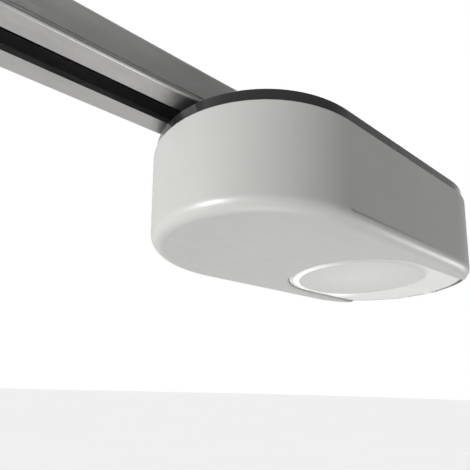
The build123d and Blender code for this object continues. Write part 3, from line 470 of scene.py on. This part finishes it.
# ---------------------------------------------------------------- wiring inside the head
WIRE_RADIUS = 0.9 * MM
WIRE_ROUNDNESS = 3
WIRE_STEPS = 8
WIRE_SMOOTHING = 3
WIRE_RUNS = {
    # name: colour, then the stops along its way in millimetres
    "wire_motor_red": (
        (0.42, 0.02, 0.015),
        (
            (119, 31, -48), (131, 26, -51), (136, 0, -57), (132, -42, -64),
            (112, -76, -66), (89, -73, -65), (89, -66, -65),
        ),
    ),
    "wire_motor_blue": (
        (0.02, 0.07, 0.36),
        (
            (119, 31, -84), (133, 25, -76), (139, 0, -64), (135, -38, -67),
            (114, -79, -68), (83.8, -74, -65), (83.8, -66, -65),
        ),
    ),
    "wire_supply_brown": (
        (0.16, 0.06, 0.025),
        (
            (-78, -18, -50), (-62, -34, -54), (-30, -60, -60),
            (20, -78, -66), (52.6, -76, -65), (52.6, -66, -65),
        ),
    ),
    "wire_supply_grey": (
        (0.30, 0.30, 0.30),
        (
            (-86, -18, -50), (-64, -40, -56), (-28, -64, -63),
            (22, -80, -68), (57.8, -77, -66), (57.8, -66, -65),
        ),
    ),
    "wire_lamp_white": (
        (0.62, 0.62, 0.60),
        (
            (121, 0, -102.5), (133, -6, -98), (138, -18, -84), (128, -46, -70),
            (100, -78, -67), (78.6, -75, -65), (78.6, -66, -65),
        ),
    ),
}


def make_wires():
    """Insulated wires between the motor, the transformer, the lamp and the terminal block."""
    for name, (colour, stops) in WIRE_RUNS.items():
        curve = bpy.data.curves.new(name, "CURVE")
        curve.dimensions = "3D"
        curve.bevel_depth = WIRE_RADIUS
        curve.bevel_resolution = WIRE_ROUNDNESS
        curve.use_fill_caps = True
        run = curve.splines.new("NURBS")
        run.points.add(len(stops) - 1)
        for point, stop in zip(run.points, stops):
            point.co = (*(Vector(stop) * MM), 1.0)
        run.order_u = WIRE_SMOOTHING
        run.use_endpoint_u = True
        run.resolution_u = WIRE_STEPS
        nodes = moulded_plastic(name + "_sleeve", colour, 0.38, grain=0.8 * MM, depth=0.01 * MM, mottle=0.1)
        curve.materials.append(nodes.material)
        wire = bpy.data.objects.new(name, curve)
        bpy.context.scene.collection.objects.link(wire)
        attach(wire, "opener")


# ---------------------------------------------------------------- studio
def make_floor(low):
    """A plain pale floor under the part."""
    mesh = bmesh.new()
    for x, y in FLOOR_CORNERS:
        mesh.verts.new((x * FLOOR_HALF, y * FLOOR_HALF, low - FLOOR_DROP))
    mesh.faces.new(mesh.verts)
    data = bpy.data.meshes.new("floor")
    mesh.to_mesh(data)
    mesh.free()
    floor = bpy.data.objects.new("floor", data)
    bpy.context.scene.collection.objects.link(floor)
    nodes = Nodes("floor_paint", (0.97, 0.97, 0.97), 0.55)
    nodes.tint(nodes.ramp(nodes.noise(0.8, 3.0), 0.0, 1.0, 0.3, 0.7), (0.955, 0.955, 0.955))
    data.materials.append(nodes.material)
    return floor


def make_world():
    """A white room that is brighter behind the part than on the viewer's side."""
    world = bpy.data.worlds.new("studio")
    bpy.context.scene.world = world
    world.use_nodes = True
    tree = world.node_tree
    tree.nodes.clear()
    place = tree.nodes.new("ShaderNodeTexCoord")
    facing = tree.nodes.new("ShaderNodeVectorMath")
    facing.operation = "DOT_PRODUCT"
    facing.inputs[1].default_value = ROOM_BRIGHT_WAY
    tree.links.new(place.outputs["Generated"], facing.inputs[0])
    ramp = tree.nodes.new("ShaderNodeMapRange")
    ramp.interpolation_type = "SMOOTHSTEP"
    ramp.inputs["From Min"].default_value = ROOM_DARK_AT
    ramp.inputs["From Max"].default_value = ROOM_BRIGHT_AT
    ramp.inputs["To Min"].default_value = ROOM_DARK
    ramp.inputs["To Max"].default_value = ROOM_BRIGHT
    tree.links.new(facing.outputs["Value"], ramp.inputs["Value"])
    lighting = tree.nodes.new("ShaderNodeBackground")
    lighting.inputs["Color"].default_value = ROOM_WHITE
    tree.links.new(ramp.outputs["Result"], lighting.inputs["Strength"])
    seen = tree.nodes.new("ShaderNodeBackground")
    seen.inputs["Color"].default_value = ROOM_WHITE
    path = tree.nodes.new("ShaderNodeLightPath")
    mix = tree.nodes.new("ShaderNodeMixShader")
    tree.links.new(path.outputs["Is Camera Ray"], mix.inputs["Fac"])
    tree.links.new(lighting.outputs["Background"], mix.inputs[1])
    tree.links.new(seen.outputs["Background"], mix.inputs[2])
    output = tree.nodes.new("ShaderNodeOutputWorld")
    tree.links.new(mix.outputs["Shader"], output.inputs["Surface"])


def make_lights():
    for name, (place, width, power, spread) in SOFT_LIGHTS.items():
        light = bpy.data.lights.new(name, "AREA")
        light.shape = "DISK"
        light.size = width
        light.energy = power
        light.spread = spread
        lamp = bpy.data.objects.new(name, light)
        bpy.context.scene.collection.objects.link(lamp)
        lamp.location = place
        lamp.rotation_euler = (LIGHT_AIM - place).to_track_quat("-Z", "Y").to_euler()
    sun = bpy.data.lights.new("ceiling_wash", "SUN")
    sun.energy = WASH_POWER
    sun.angle = WASH_ANGLE
    lamp = bpy.data.objects.new("ceiling_wash", sun)
    bpy.context.scene.collection.objects.link(lamp)


def make_camera():
    along_x = math.cos(CAMERA_YAW)
    along_y = math.sin(CAMERA_YAW)
    flat = math.cos(CAMERA_PITCH)
    forward = Vector((along_x * flat, along_y * flat, math.sin(CAMERA_PITCH)))
    level = Vector((along_y, -along_x, 0.0))
    upright = level.cross(forward)
    right = level * math.cos(CAMERA_ROLL) + upright * math.sin(CAMERA_ROLL)
    up = upright * math.cos(CAMERA_ROLL) - level * math.sin(CAMERA_ROLL)
    data = bpy.data.cameras.new("camera")
    data.lens = CAMERA_LENS
    data.shift_y = CAMERA_SHIFT_Y
    data.clip_start, data.clip_end = CAMERA_CLIP
    camera = bpy.data.objects.new("camera", data)
    bpy.context.scene.collection.objects.link(camera)
    turn = Matrix((right, up, -forward)).transposed().to_4x4()
    camera.matrix_world = Matrix.Translation(CAMERA_PLACE) @ turn
    bpy.context.scene.camera = camera


# ---------------------------------------------------------------- put it together
dress_nodes()
make_wires()
make_floor(cad_box[0].z)
make_world()
make_lights()
make_camera()
bpy.context.scene.view_settings.view_transform = "Standard"
